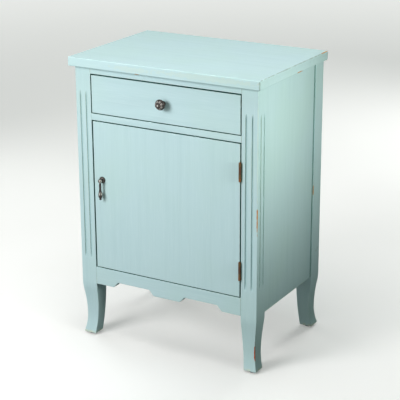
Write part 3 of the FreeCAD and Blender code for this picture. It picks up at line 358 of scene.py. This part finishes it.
class Shader:
    """Adds nodes to a material or world: a socket given as an input is joined, any other value is set."""

    def __init__(self, holder):
        holder.use_nodes = True
        self.holder = holder
        self.nodes = holder.node_tree.nodes
        self.links = holder.node_tree.links
        self.nodes.clear()

    def give(self, socket, value):
        if isinstance(value, bpy.types.NodeSocket):
            self.links.new(value, socket)
        else:
            socket.default_value = value

    def add(self, kind, inputs, **settings):
        node = self.nodes.new("ShaderNode" + kind)
        for name, value in settings.items():
            setattr(node, name, value)
        for name, value in inputs.items():
            self.give(node.inputs[name], value)
        return node

    def place(self):
        return self.add("TexCoord", {}).outputs["Object"]

    def height(self, place):
        return self.add("SeparateXYZ", {"Vector": place}).outputs["Z"]

    def stretched(self, vector, scale):
        node = self.add("VectorMath", {0: vector, 1: scale}, operation="MULTIPLY")
        return node.outputs["Vector"]

    def noise(self, vector, name):
        scale, detail, roughness = NOISES[name]
        inputs = {"Vector": vector, "Scale": scale, "Detail": detail, "Roughness": roughness}
        return self.add("TexNoise", inputs).outputs["Fac"]

    def math(self, operation, first, second=0.0):
        return self.add("Math", {0: first, 1: second}, operation=operation).outputs["Value"]

    def rest(self, value):
        """What the value leaves of 1."""
        return self.math("SUBTRACT", 1.0, value)

    def remap(self, value, low, high, to_low=0.0, to_high=1.0):
        """Smooth step of the value from low to high, clamped at both ends."""
        inputs = {"Value": value, "From Min": low, "From Max": high, "To Min": to_low, "To Max": to_high}
        return self.add("MapRange", inputs, interpolation_type="SMOOTHSTEP").outputs["Result"]

    def between(self, mask, low, high):
        """Value from low, where the mask is 0, to high, where it is 1."""
        return self.remap(mask, 0.0, 1.0, low, high)

    def mix(self, factor, first, second):
        """Colour from the first, where the factor is 0, to the second, where it is 1."""
        inputs = dict(zip(MIX_INPUTS, (factor, first, second)))
        return self.add("Mix", inputs, data_type="RGBA").outputs[MIX_OUTPUT]

    def seen(self):
        """1 for the camera, mirrors and glass, 0 for light that bounces."""
        rays = self.add("LightPath", {}).outputs
        reflected = self.math("MAXIMUM", rays["Is Glossy Ray"], rays["Is Transmission Ray"])
        return self.math("MAXIMUM", rays["Is Camera Ray"], reflected)

    def edges(self, radius):
        """Grows from 0 on flat faces towards 1 at corners."""
        rounded = self.add("Bevel", {"Radius": radius}, samples=RAY_SAMPLES).outputs["Normal"]
        true = self.add("NewGeometry", {}).outputs["Normal"]
        same = self.add("VectorMath", {0: rounded, 1: true}, operation="DOT_PRODUCT").outputs["Value"]
        return self.rest(same)

    def crevices(self, reach):
        """Grows from 0 in the open towards 1 deep in corners and gaps."""
        node = self.add("AmbientOcclusion", {"Distance": reach}, samples=RAY_SAMPLES)
        return self.rest(node.outputs["AO"])

    def finish(self, inputs, relief=None, depth=0.0):
        """Closes the material with one surface shader and its inputs by name."""
        surface = self.add("BsdfPrincipled", inputs)
        if relief is not None:
            bump = self.add("Bump", {"Height": relief, "Distance": depth})
            self.give(surface.inputs["Normal"], bump.outputs["Normal"])
        output = self.add("OutputMaterial", {})
        self.links.new(surface.outputs["BSDF"], output.inputs["Surface"])
        return self.holder


def material(name):
    return Shader(bpy.data.materials.new(name))


# Paint

def spots(shader, place, rows):
    """Mask of the spots in the rows, with ragged outlines."""
    ragged = shader.remap(shader.noise(place, "chip_breaks"), *PAINT_SHARES["ragged"])
    mask = None
    for node, sides, offset, reach in rows.values():
        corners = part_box(node)
        centre = Vector([corners[side][axis] for axis, side in enumerate(sides)]) + Vector(offset)
        away = shader.add("VectorMath", {0: place, 1: centre}, operation="SUBTRACT").outputs["Vector"]
        scaled = shader.add("VectorMath", {0: away, 1: reach}, operation="DIVIDE").outputs["Vector"]
        distance = shader.add("VectorMath", {0: scaled}, operation="LENGTH").outputs["Value"]
        spot = shader.remap(shader.math("ADD", distance, ragged), *PAINT_SHARES["spot"])
        mask = spot if mask is None else shader.math("MAXIMUM", mask, spot)
    return mask


def streaked(shader, place, brushed, fine):
    """Colour of the paint with brush streaks along the grain and soft clouds."""
    broad = shader.noise(brushed, "broad_streaks")
    cloud = shader.noise(place, "clouds")
    colour = shader.mix(shader.remap(broad, *PAINT_SHARES["broad"]), PAINT, PAINT_DEEP)
    colour = shader.mix(shader.remap(fine, *PAINT_SHARES["fine"]), colour, PAINT_PALE)
    return shader.mix(shader.remap(cloud, *PAINT_SHARES["cloud"]), colour, PAINT_GREEN)


def rubbed_thin(shader, colour, place, brushed):
    """The colour rubbed at edges, on the feet and in the rubbed spots, with grey lines on some edges."""
    breaks = shader.remap(shader.noise(brushed, "rub_breaks"), *PAINT_SHARES["breaks"])
    edges = shader.remap(shader.edges(RUB_RADIUS), *PAINT_SHARES["edges"])
    colour = shader.mix(shader.math("MULTIPLY", edges, breaks), colour, PAINT_RUBBED)
    scuffed = shader.math("MULTIPLY", shader.remap(shader.height(place), *SCUFF_HEIGHTS), breaks)
    handled = shader.math("MULTIPLY", spots(shader, place, RUBBED_SPOTS), RUBBED_SPOT_SHARE)
    colour = shader.mix(shader.math("MAXIMUM", scuffed, handled), colour, PAINT_RUBBED)
    greyed = shader.math("MULTIPLY", spots(shader, place, GREY_LINES), GREY_LINE_SHARE)
    return shader.mix(greyed, colour, EDGE_GREY)


def glazed_and_shaded(shader, colour, hollow):
    """The colour under dark glazing and painted shade, both laid into corners and gaps."""
    colour = shader.mix(shader.remap(hollow, *PAINT_SHARES["glaze_and_shade"]), colour, GLAZE_AND_SHADE)
    return shader.mix(shader.remap(hollow, *PAINT_SHARES["glaze_and_shade_deep"]), colour, GLAZE_AND_SHADE_DEEP)


def chip_wood(shader, place, brushed):
    """Colour of the wood in the chips, redder near the floor."""
    wood = shader.mix(shader.noise(brushed, "chip_grain"), CHIP_DARK, CHIP_WOOD)
    return shader.mix(shader.remap(shader.height(place), *RED_HEIGHTS), wood, CHIP_RED)


def paint(name, grain):
    """Brushed satin paint: streaks along the grain, rubbed edges, dark glazing with painted shade in
    corners, and chips.
    """
    shader = material(name)
    place = shader.place()
    brushed = shader.stretched(place, GRAIN_SHARES[grain])
    fine = shader.noise(brushed, "fine_streaks")
    hollow = shader.crevices(GLAZE_AND_SHADE_REACH)
    chipped = spots(shader, place, CHIPS)
    colour = streaked(shader, place, brushed, fine)
    colour = rubbed_thin(shader, colour, place, brushed)
    # Dark glazing and painted shade in corners, flutes and gaps
    colour = glazed_and_shaded(shader, colour, hollow)
    gloss = shader.remap(fine, *PAINT_SHARES["roughness"])
    inputs = {
        "Base Color": shader.mix(chipped, colour, chip_wood(shader, place, brushed)),
        "Roughness": shader.math("ADD", gloss, shader.math("MULTIPLY", chipped, CHIP_ROUGHNESS_SHARE)),
        "Specular IOR Level": shader.remap(hollow, *PAINT_SHARES["shine"]),
    }
    relief = shader.math("SUBTRACT", fine, shader.math("MULTIPLY", chipped, CHIP_DEPTH_SHARE))
    return shader.finish(inputs, relief, BRUSH_RELIEF)


# Other materials

def bare_wood(axis):
    """Unpainted hardwood with growth bands and open pores along one axis."""
    shader = material("bare_wood_" + axis)
    grained = shader.stretched(shader.place(), GRAIN_SHARES[axis])
    bands = shader.noise(grained, "wood_rings")
    pores = shader.noise(grained, "wood_pores")
    colour = shader.mix(shader.remap(bands, *WOOD_SHARES["bands"]), WOOD_PALE, WOOD_DEEP)
    colour = shader.mix(shader.remap(pores, *WOOD_SHARES["pores"]), colour, WOOD_PORE)
    roughness = shader.remap(pores, *WOOD_SHARES["roughness"])
    return shader.finish({"Base Color": colour, "Roughness": roughness}, pores, WOOD_RELIEF)


def drop_pivot():
    """Where the drop of the pull turns."""
    joints = {row["name"]: row for row in frame["record"]["behaviour"]["joints"]}
    return Vector(joints["pull_swing"]["pos_m"])


def worn_and_highlit(shader, place, stain):
    """How bright the bronze is rubbed on its carving and at edges, and rubbed and given a painted
    highlight on the ball where the drop turns.
    """
    carving = shader.add("Attribute", {}, attribute_name=CARVING).outputs["Fac"]
    from_pivot = shader.add("VectorMath", {0: place, 1: drop_pivot()}, operation="DISTANCE")
    # Wear and a painted highlight on the ball where the drop turns
    ball_wear_and_highlight = shader.remap(from_pivot.outputs["Value"], *BALL_WEAR_AND_HIGHLIGHT_SPAN, *BALL_WEAR_AND_HIGHLIGHT_SHARES)
    edges = shader.remap(shader.edges(CAST_EDGE), *BRONZE_SHARES["edges"])
    rubbed = shader.math("MAXIMUM", shader.math("MAXIMUM", carving, ball_wear_and_highlight), edges)
    stained = shader.math("MULTIPLY", stain, BRONZE_STAIN_SHARE)
    return shader.remap(shader.math("ADD", rubbed, stained), *BRONZE_SHARES["worn_and_highlit"])


def dark_bronze():
    """Antiqued cast bronze: dark in its hollows, brown between, rubbed bright on high spots, with a
    painted highlight on the ball where the drop turns.
    """
    shader = material("dark_bronze")
    place = shader.place()
    grain = shader.noise(place, "cast_grain")
    stain = shader.noise(place, "cast_stain")
    colour = shader.mix(shader.remap(stain, *BRONZE_SHARES["stain"]), BRONZE_DARK, BRONZE_BROWN)
    hollow = shader.remap(shader.crevices(CAST_HOLLOW), *BRONZE_SHARES["hollow"])
    colour = shader.mix(hollow, colour, BRONZE_DARK)
    bright = shader.math("MULTIPLY", worn_and_highlit(shader, place, stain), shader.rest(hollow))
    inputs = {
        "Base Color": shader.mix(bright, colour, BRONZE_WORN_AND_HIGHLIT),
        "Metallic": shader.between(bright, *BRONZE_METALLIC_SHARES),
        "Roughness": shader.remap(grain, *BRONZE_SHARES["roughness"]),
    }
    return shader.finish(inputs, grain, CAST_RELIEF)


def hinge_copper(name, low, pitch):
    """Antiqued copper whose tone differs from knuckle to knuckle above the hinge's lower end."""
    shader = material(name)
    place = shader.place()
    above = shader.math("SUBTRACT", shader.height(place), low)
    step = shader.math("FLOOR", shader.math("DIVIDE", above, pitch))
    tone = shader.add("TexWhiteNoise", {"W": step}, noise_dimensions="1D").outputs["Value"]
    grain = shader.noise(place, "cast_grain")
    stain = shader.noise(place, "cast_stain")
    first_tone, second_tone, third_tone = COPPER_TONES
    colour = shader.mix(shader.remap(tone, *COPPER_SHARES["second_tone"]), first_tone, second_tone)
    colour = shader.mix(shader.remap(tone, *COPPER_SHARES["third_tone"]), colour, third_tone)
    colour = shader.mix(shader.remap(stain, *COPPER_SHARES["stain"]), colour, COPPER_DARK)
    hollow = shader.remap(shader.crevices(CAST_HOLLOW), *COPPER_SHARES["hollow"])
    inputs = {
        "Base Color": shader.mix(hollow, colour, COPPER_DARK),
        "Metallic": shader.remap(stain, *COPPER_SHARES["metallic"]),
        "Roughness": shader.remap(grain, *COPPER_SHARES["roughness"]),
    }
    return shader.finish(inputs, grain, CAST_RELIEF)


def zinc_steel():
    """Zinc plating, duller in patches."""
    shader = material("zinc_steel")
    grain = shader.noise(shader.place(), "plated_grain")
    inputs = {
        "Base Color": shader.mix(shader.remap(grain, *ZINC_SHARES["dull"]), ZINC, ZINC_DULL),
        "Metallic": ZINC_METALLIC_SHARE,
        "Roughness": shader.remap(grain, *ZINC_SHARES["roughness"]),
    }
    return shader.finish(inputs, grain, CAST_RELIEF)


def moulded(name, colour):
    """Moulded plastic or sintered ferrite: one colour with a fine grain and slightly paler edges."""
    shader = material(name)
    grain = shader.noise(shader.place(), "moulded_grain")
    paler = shader.mix(MOULDED_PALER_SHARE, colour, WHITE)
    rubbed = shader.remap(shader.edges(CAST_EDGE), *MOULDED_SHARES["edges"])
    mottled = shader.math("MAXIMUM", rubbed, shader.remap(grain, *MOULDED_SHARES["mottled"]))
    inputs = {
        "Base Color": shader.mix(mottled, colour, paler),
        "Roughness": shader.remap(grain, *MOULDED_ROUGHNESS_SHARES[name]),
    }
    return shader.finish(inputs, grain, CAST_RELIEF)


# Dressing of the nodes

def dress(node, coat):
    for slot in NODES[node].material_slots:
        slot.material = coat


def long_axis(node):
    low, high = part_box(node)
    sizes = high - low
    return max("xyz", key=lambda axis: getattr(sizes, axis))


def hinge_coats():
    """One copper for each hinge, set out from the lower end of its leaves."""
    coats = {}
    for level in ("upper", "lower"):
        low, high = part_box(level + "_hinge_frame_leaf")
        coats[level] = hinge_copper(level + "_hinge_copper", low.z, (high.z - low.z) / KNUCKLES)
    return coats


def dress_all():
    """Gives every node the material of its slot, and returns the bronze for the carved pieces."""
    paints = {axis: paint("aqua_paint_" + axis, axis) for axis in "xz"}
    woods = {axis: bare_wood(axis) for axis in "xyz"}
    hinges = hinge_coats()
    plain = {name: moulded(name, colour) for name, colour in MOULDED_COLOURS.items()}
    plain["dark_bronze"] = dark_bronze()
    plain["zinc_steel"] = zinc_steel()
    for row in frame["record"]["subparts"]:
        node = row["node"]
        if row["material_slot"] == "painted_wood":
            dress(node, paints["x" if node in LEVEL_BOARDS else "z"])
        elif row["material_slot"] == "bare_wood":
            dress(node, woods[long_axis(node)])
        elif row["material_slot"] == "hinge_copper":
            dress(node, hinges["lower" if node.startswith("lower") else "upper"])
        else:
            dress(node, plain[row["material_slot"]])
    return plain["dark_bronze"]


# Carved pieces

def along(points, share):
    """Point at a share of a smooth line through the points."""
    last = len(points) - 1
    index = min(int(share * last), last - 1)
    part = share * last - index
    near = [points[max(0, min(last, index + step))] for step in (-1, 0, 1, 2)]
    before, start, end, after = [Vector(point) for point in near]
    bend = 2 * before - 5 * start + 4 * end - after
    turn = 3 * start - before - 3 * end + after
    return (2 * start + (end - before) * part + bend * part ** 2 + turn * part ** 3) / 2


def fade(value, low, high):
    """Smooth step of the value from low to high."""
    share = max(0.0, min(1.0, (value - low) / (high - low)))
    return share * share * (3 - 2 * share)


def petal_shape(angle, count, reach):
    """Height of a ring of petals, from 0 between them to 1 along their middles, and the sharpness of
    their veins."""
    across = (angle * count / math.tau) % 1.0 - 0.5
    start, span = PETAL_OUTLINE_SHARES
    half_width = PETAL_HALF_SHARE * math.sqrt(max(0.0, math.sin(math.pi * (start + span * reach))))
    body = math.sqrt(max(0.0, 1 - (across / half_width) ** 2))
    vein = math.exp(-(across / VEIN_SHARE) ** 2) * (1 - VEIN_FADE_SHARE * reach)
    return body, vein


def skin(shape, rows, segments, spot, ring=False):
    """Adds a surface closed round the angle: spot gives a point and how much it is rubbed from a share
    along its outline and an angle."""
    grid = []
    layer = shape.verts.layers.float.get(CARVING) or shape.verts.layers.float.new(CARVING)
    for row in range(rows if ring else rows + 1):
        grid.append([])
        for column in range(segments):
            point, rubbed = spot(row / rows, math.tau * column / segments)
            corner = shape.verts.new(point)
            corner[layer] = rubbed
            grid[-1].append(corner)
    if ring:
        grid.append(grid[0])
    for lower, upper in zip(grid, grid[1:]):
        for column in range(segments):
            beside = (column + 1) % segments
            shape.faces.new((lower[column], lower[beside], upper[beside], upper[column]))


def carved(name, shape, coat, body):
    """Turns the finished shape into a smooth piece that rides on a body."""
    bmesh.ops.remove_doubles(shape, verts=shape.verts, dist=WELD)
    bmesh.ops.recalc_face_normals(shape, faces=shape.faces)
    mesh = bpy.data.meshes.new(name)
    shape.to_mesh(mesh)
    shape.free()
    for face in mesh.polygons:
        face.use_smooth = True
    mesh.materials.append(coat)
    piece = bpy.data.objects.new(name, mesh)
    bpy.context.scene.collection.objects.link(piece)
    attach(piece, body)
    return piece


def knob_relief(radius_share, angle):
    """How far the front of the knob stands out of its dome, and how much it is rubbed there: a boss in a
    ring of veined petals."""
    if radius_share < KNOB_BOSS_SHARE:
        crown = math.sqrt(1 - (radius_share / KNOB_BOSS_SHARE) ** 2)
        return KNOB_BOSS_HEIGHT * crown, crown
    inner, outer = KNOB_PETAL_SHARES
    reach = max(0.0, (radius_share - inner) / (outer - inner))
    body, vein = petal_shape(angle, KNOB_PETALS, reach)
    bulge = body * math.sin(math.pi * reach)
    valley = KNOB_VALLEY_DEPTH * (1 - bulge) * fade(1 - reach, *KNOB_TIP_SHARES)
    sunk = valley + KNOB_VEIN_DEPTH * vein * bulge
    return KNOB_PETAL_HEIGHT * bulge - sunk, bulge * (1 - vein)


def carved_knob(coat):
    """Cast flower knob in the place of the plain one."""
    low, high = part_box("drawer_knob")
    radius = (high.x - low.x) / 2
    length = high.y - low.y
    middle = (low + high) / 2
    centre = Vector((0.0, KNOB_CENTRE_SHARE * length))

    def spot(share, angle):
        line = along(KNOB_LINE_SHARES, share)
        flat = Vector((line.x * radius, line.y * length))
        if line.y > KNOB_RIM_SHARE:
            rise, rubbed = knob_relief(line.x, angle)
            flat += rise * (flat - centre).normalized()
        else:
            beaded = fade(line.x, *KNOB_BEAD_SHARES)
            groove = (0.5 - 0.5 * math.cos(angle * KNOB_BEADS)) * beaded
            flat.x -= KNOB_BEAD_DEPTH * groove
            rubbed = KNOB_BEAD_RUB_SHARE * (1 - groove) * beaded
        around = Vector((flat.x * math.cos(angle), 0.0, flat.x * math.sin(angle)))
        return Vector((middle.x, high.y - flat.y, middle.z)) + around, rubbed

    shape = bmesh.new()
    skin(shape, *KNOB_GRID, spot)
    foot = [edge for edge in shape.edges if edge.is_boundary and edge.verts[0].co.y > middle.y]
    bmesh.ops.holes_fill(shape, edges=foot)
    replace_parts(carved("carved_knob", shape, coat, "drawer"), "drawer_knob")


def rosette_petals(coat):
    """Ring of petals seated on the dome of the rosette."""
    low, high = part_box("pull_rosette")
    middle = (low + high) / 2
    radius = (high.x - low.x) / 2
    rise = ROSETTE_DOME_HEIGHT - ROSETTE_RIM_HEIGHT

    def spot(share, angle):
        reach = min(share, 1 - share) * 2
        line = along(ROSETTE_DOME_SHARES, reach)
        lift = 0.0
        if share < 0.5:
            body, vein = petal_shape(angle, ROSETTE_PETALS, 1 - reach)
            lift = body * (1 - VEIN_DEPTH_SHARE * vein)
        out = ROSETTE_RIM_HEIGHT + line.y * rise - ROSETTE_SEAT_DEPTH
        out += (ROSETTE_SEAT_DEPTH + ROSETTE_PETAL_HEIGHT) * lift
        around = Vector((math.cos(angle), 0.0, math.sin(angle))) * line.x * radius
        return Vector((middle.x, high.y - out, middle.z)) + around, ROSETTE_RUB_SHARE * lift

    shape = bmesh.new()
    skin(shape, *ROSETTE_GRID, spot, ring=True)
    carved("rosette_petals", shape, coat, "door")


def boxed(angle):
    """Unit point on a square with well rounded corners."""
    sides = (math.cos(angle), math.sin(angle))
    return [math.copysign(abs(side) ** SQUARENESS, side) for side in sides]


def carved_drop(coat):
    """Cast drop with leaves on its belly and collars on its stem, hanging by its flat eye."""
    low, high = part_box("pull_drop")
    pivot = drop_pivot()
    radius = (high.x - low.x) / 2
    length = pivot.z - low.z
    eye = high.z - pivot.z
    half = EYE_THICKNESS / 2
    first, last = DROP_LEAF_SHARES

    def stem(share, angle):
        line = along(DROP_LINE_SHARES, share)
        reach = (line.y - first) / (last - first)
        sunk = 0.0
        rubbed = 0.0
        if 0 < reach < 1:
            body, vein = petal_shape(angle, DROP_LEAVES, reach)
            swell = math.sin(math.pi * reach)
            sunk = DROP_LEAF_DEPTH * (1 - body + VEIN_DEPTH_SHARE * vein) * swell
            rubbed = body * (1 - vein) * swell
        for collar in DROP_COLLAR_SHARES:
            sunk += DROP_COLLAR_DEPTH * math.exp(-((line.y - collar) / DROP_COLLAR_REACH_SHARE) ** 2)
        out = max(0.0, line.x * radius - sunk)
        return pivot + Vector((out * math.cos(angle), out * math.sin(angle), -line.y * length)), rubbed

    def ring(share, angle):
        across, out = boxed(math.tau * share)
        middle = (eye + EYE_BORE) / 2
        reach = middle + out * (eye - EYE_BORE) / 2
        around = Vector((across * half, reach * math.cos(angle), reach * math.sin(angle)))
        return pivot + around, EYE_RUB_SHARE

    def neck(share, angle):
        across, deep = boxed(angle)
        drop = -eye + share * (eye - NECK_END_SHARE * length)
        return pivot + Vector((across * half, deep * NECK_DEPTH / 2, drop)), 0.0

    shape = bmesh.new()
    skin(shape, *DROP_GRID, stem)
    skin(shape, *EYE_GRID, ring, ring=True)
    skin(shape, *NECK_GRID, neck)
    bmesh.ops.holes_fill(shape, edges=[edge for edge in shape.edges if edge.is_boundary])
    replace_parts(carved("carved_drop", shape, coat, "pull_drop"), "pull_drop")


# Studio

def floor_coat():
    """Plain pale floor, paler with distance so that it runs into the backdrop."""
    shader = material("floor")
    place = shader.place()
    seen = shader.seen()
    shown = shader.mix(shader.noise(place, "floor_flecks"), FLOOR_FLECK_COLOUR, FLOOR_COLOUR)
    distance = shader.add("VectorMath", {0: place}, operation="LENGTH").outputs["Value"]
    glow = shader.remap(distance, *FLOOR_GLOW_SPAN, *FLOOR_GLOW_SHARES)
    inputs = {
        "Base Color": shader.mix(seen, FLOOR_BOUNCE_COLOUR, shown),
        "Roughness": FLOOR_ROUGHNESS_SHARE,
        "Emission Color": FLOOR_COLOUR,
        "Emission Strength": shader.math("MULTIPLY", seen, glow),
    }
    return shader.finish(inputs)


def floor():
    """Wide level floor under the table."""
    mesh = bpy.data.meshes.new("floor")
    grid = bmesh.new()
    bmesh.ops.create_grid(grid, x_segments=1, y_segments=1, size=FLOOR_REACH)
    grid.to_mesh(mesh)
    grid.free()
    mesh.materials.append(floor_coat())
    ground = bpy.data.objects.new("floor", mesh)
    bpy.context.scene.collection.objects.link(ground)


def lights():
    """Round lamps that face the table, or the point they are aimed at."""
    for name, row in LIGHTS.items():
        lamp = bpy.data.lights.new(name, "AREA")
        lamp.shape = "DISK"
        lamp.size = row["across"]
        lamp.energy = row["watts"]
        lamp.color = row["colour"]
        lamp.spread = row.get("spread", math.pi)
        holder = bpy.data.objects.new(name, lamp)
        holder.location = row["place"]
        away = Vector(row.get("aim", TABLE_MIDDLE)) - holder.location
        holder.rotation_euler = away.to_track_quat("-Z", "Y").to_euler()
        holder.visible_camera = False
        bpy.context.scene.collection.objects.link(holder)


def world():
    """Bright backdrop where it is seen, and the dim light of a room elsewhere."""
    sky = bpy.data.worlds.new("studio")
    shader = Shader(sky)
    seen = shader.seen()
    strength = shader.between(seen, ROOM_STRENGTH, BACKDROP_STRENGTH)
    colour = shader.mix(seen, ROOM_COLOUR, WHITE)
    background = shader.add("Background", {"Color": colour, "Strength": strength})
    output = shader.add("OutputWorld", {})
    shader.links.new(background.outputs["Background"], output.inputs["Surface"])
    bpy.context.scene.world = sky


def camera():
    """Camera at the viewing angle of the photo."""
    flat = math.cos(CAMERA_ELEVATION)
    back = Vector((math.sin(CAMERA_AZIMUTH) * flat, -math.cos(CAMERA_AZIMUTH) * flat,
                   math.sin(CAMERA_ELEVATION)))
    right = UP.cross(back).normalized()
    up = back.cross(right)
    turned_right = math.cos(CAMERA_ROLL) * right + math.sin(CAMERA_ROLL) * up
    turned_up = math.cos(CAMERA_ROLL) * up - math.sin(CAMERA_ROLL) * right
    eye = bpy.data.cameras.new("camera")
    eye.lens = CAMERA_LENS_MM
    eye.sensor_width = SENSOR_MM
    holder = bpy.data.objects.new("camera", eye)
    turn = Matrix((turned_right, turned_up, back)).transposed()
    holder.matrix_world = Matrix.Translation(CAMERA_PLACE) @ turn.to_4x4()
    bpy.context.scene.collection.objects.link(holder)
    bpy.context.scene.camera = holder


bronze = dress_all()
carved_knob(bronze)
rosette_petals(bronze)
carved_drop(bronze)
floor()
lights()
world()
camera()
bpy.context.scene.view_settings.view_transform = "Standard"
